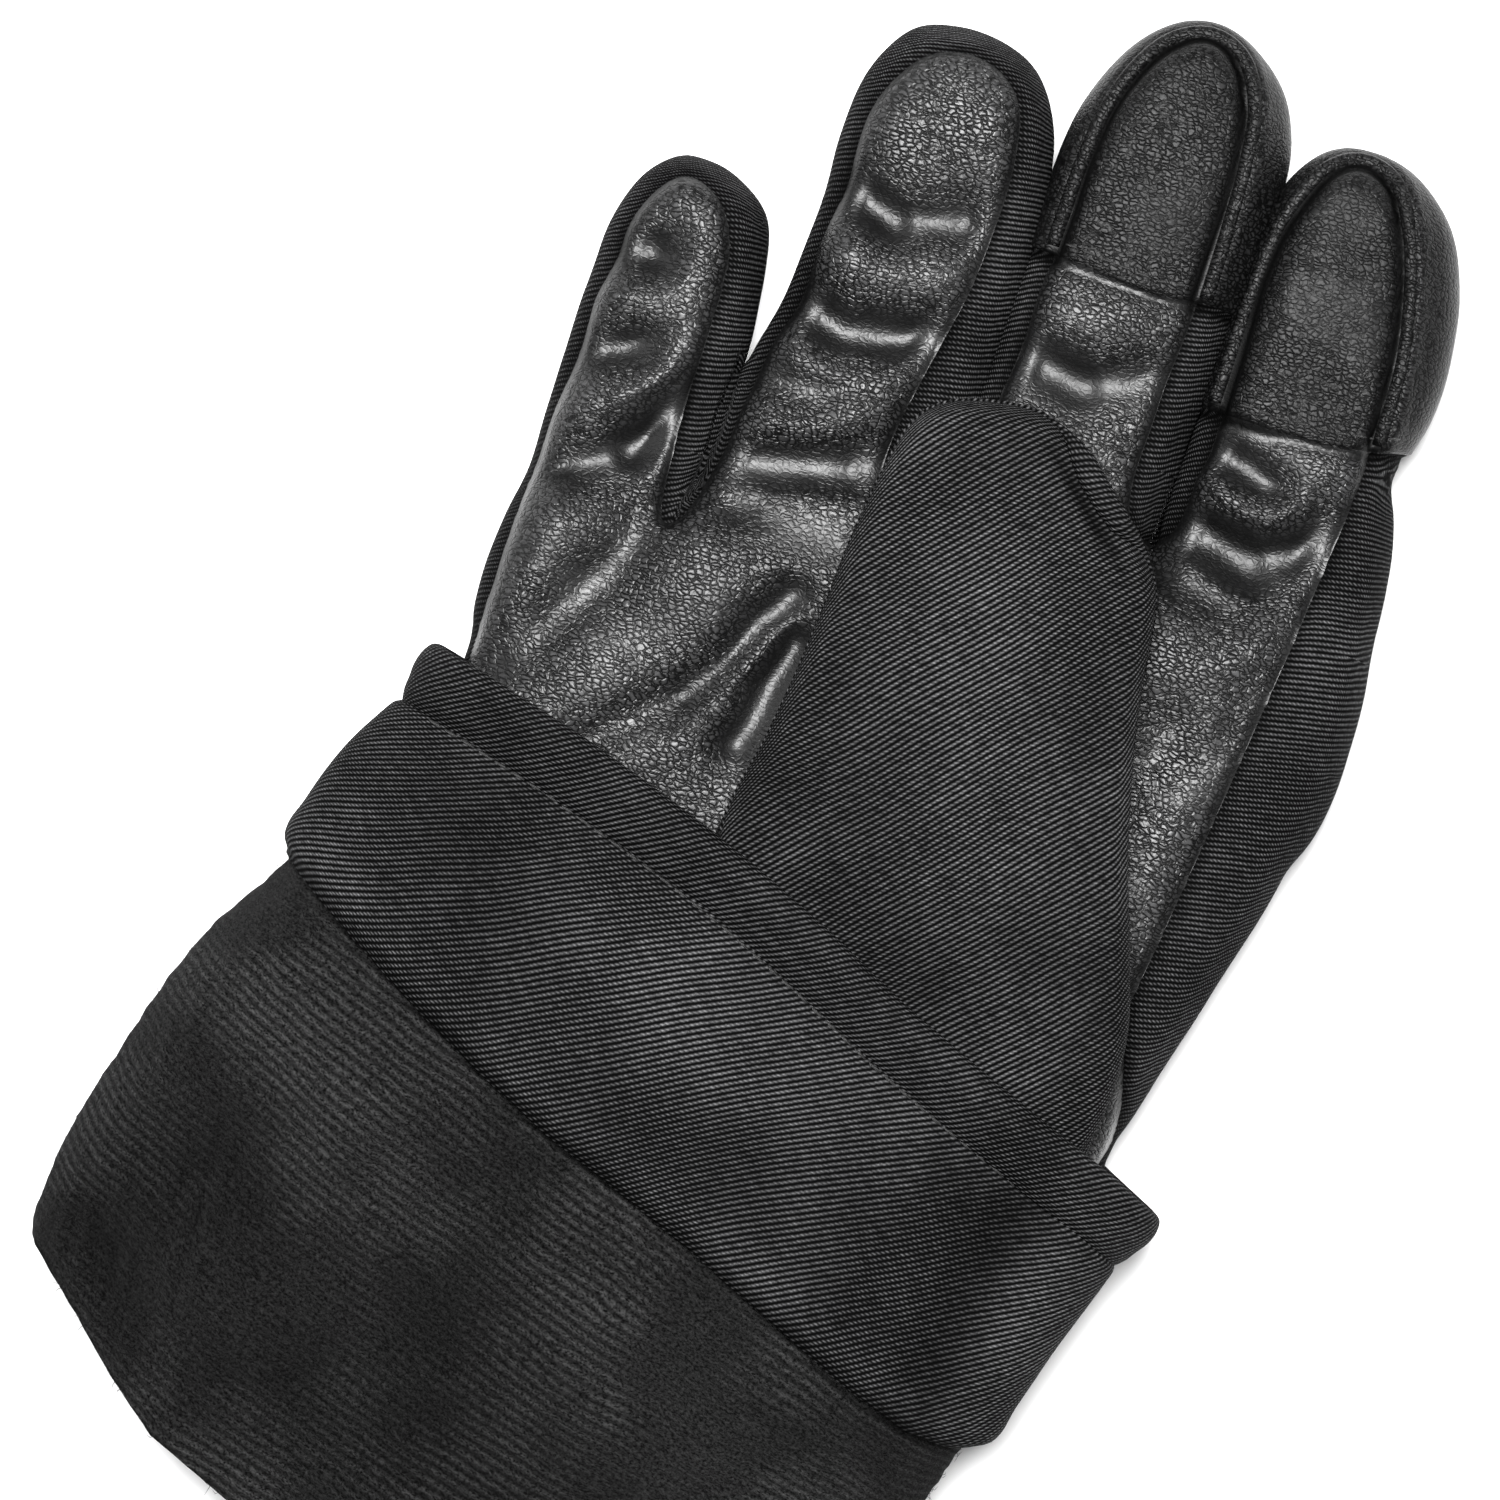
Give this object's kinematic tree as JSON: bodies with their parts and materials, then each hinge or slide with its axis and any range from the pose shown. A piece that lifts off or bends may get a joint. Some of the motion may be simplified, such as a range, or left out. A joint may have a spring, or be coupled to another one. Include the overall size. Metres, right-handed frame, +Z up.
{
  "type": "ski glove",
  "caption": "Right-hand padded ski glove, palm up: leather palm and finger fronts, twill back and sides, thumb folded over the palm, cuff turned back, fleece lining pulled out.",
  "frame": {"origin": "on the resting plane, under the centre of the bounding box", "axes": "+Y towards the fingertips, +X towards the index finger's side, +Z up, out of the palm"},
  "size_m": [0.1796, 0.3012, 0.05],
  "materials": {
    "palm_leather": "pebbled synthetic leather with a satin sheen",
    "cap_leather": "smooth fine-grained synthetic leather, satin",
    "twill": "matte twill with fine diagonal wales",
    "fleece_lining": "matte brushed knit fleece",
    "padding": "white polyester wadding",
    "elastic": "woven elastic band",
    "thread": "twisted polyester sewing thread"
  },
  "bodies": {
    "hand": {"palm_leather": "palm_leather", "hand_back": "twill", "pinky_side_panel": "twill", "fourchette_pinky_ring": "twill", "fourchette_ring_middle": "twill", "fourchette_middle_index": "twill", "index_side_panel": "twill", "hand_padding": "padding", "hand_lining": "fleece_lining", "wrist_elastic": "elastic", "thumb_gusset": "twill", "thumb_gusset_lining": "fleece_lining", "cuff_hem_roll": "twill", "cuff_facing": "twill", "cuff_shell": "twill", "cuff_lining": "fleece_lining", "cuff_stitching": "thread"},
    "pinky_middle": {"pinky_middle_back": "twill", "pinky_middle_front": "palm_leather", "pinky_middle_sides": "twill", "pinky_middle_lining": "fleece_lining"},
    "pinky_tip": {"pinky_tip_back": "twill", "pinky_tip_front": "palm_leather", "pinky_tip_sides": "twill", "pinky_tip_lining": "fleece_lining"},
    "ring_middle": {"ring_middle_back": "twill", "ring_middle_front": "palm_leather", "ring_middle_sides": "twill", "ring_middle_lining": "fleece_lining"},
    "ring_tip": {"ring_tip_back": "twill", "ring_tip_front": "palm_leather", "ring_tip_sides": "twill", "ring_tip_lining": "fleece_lining"},
    "middle_middle": {"middle_middle_back": "twill", "middle_middle_front": "palm_leather", "middle_middle_sides": "twill", "middle_middle_lining": "fleece_lining"},
    "middle_tip": {"middle_tip_back": "twill", "middle_touch_cap": "cap_leather", "middle_tip_sides": "twill", "middle_tip_lining": "fleece_lining", "middle_cap_welt": "cap_leather", "middle_cap_stitching": "thread"},
    "index_middle": {"index_middle_back": "twill", "index_middle_front": "palm_leather", "index_middle_sides": "twill", "index_middle_lining": "fleece_lining"},
    "index_tip": {"index_tip_back": "twill", "index_touch_cap": "cap_leather", "index_tip_sides": "twill", "index_tip_lining": "fleece_lining", "index_cap_welt": "cap_leather", "index_cap_stitching": "thread"},
    "thumb": {"thumb_back": "twill", "thumb_front": "palm_leather", "thumb_welt": "twill", "thumb_lining": "fleece_lining"}
  },
  "joints": [
    {"name": "pinky_middle_joint", "type": "hinge", "parent": "hand", "child": "pinky_middle", "pos_m": [-0.04014, 0.06355, 0.021], "axis": [1, 0, 0], "range_deg": [0, 80]},
    {"name": "pinky_tip_joint", "type": "hinge", "parent": "pinky_middle", "child": "pinky_tip", "pos_m": [-0.04014, 0.08155, 0.021], "axis": [1, 0, 0], "range_deg": [0, 60]},
    {"name": "ring_middle_joint", "type": "hinge", "parent": "hand", "child": "ring_middle", "pos_m": [-0.00414, 0.08205, 0.021], "axis": [1, 0, 0], "range_deg": [0, 80]},
    {"name": "ring_tip_joint", "type": "hinge", "parent": "ring_middle", "child": "ring_tip", "pos_m": [-0.00414, 0.10355, 0.021], "axis": [1, 0, 0], "range_deg": [0, 60]},
    {"name": "middle_middle_joint", "type": "hinge", "parent": "hand", "child": "middle_middle", "pos_m": [0.03246, 0.08655, 0.021], "axis": [1, 0, 0], "range_deg": [0, 80]},
    {"name": "middle_tip_joint", "type": "hinge", "parent": "middle_middle", "child": "middle_tip", "pos_m": [0.03246, 0.10605, 0.021], "axis": [1, 0, 0], "range_deg": [0, 60]},
    {"name": "index_middle_joint", "type": "hinge", "parent": "hand", "child": "index_middle", "pos_m": [0.06866, 0.06755, 0.021], "axis": [1, 0, 0], "range_deg": [0, 80]},
    {"name": "index_tip_joint", "type": "hinge", "parent": "index_middle", "child": "index_tip", "pos_m": [0.06866, 0.09205, 0.021], "axis": [1, 0, 0], "range_deg": [0, 60]},
    {"name": "thumb_lift", "type": "hinge", "parent": "hand", "child": "thumb", "pos_m": [0.03186, 0.00455, 0.046], "axis": [1, 0, 0], "range_deg": [0, 75]}
  ]
}
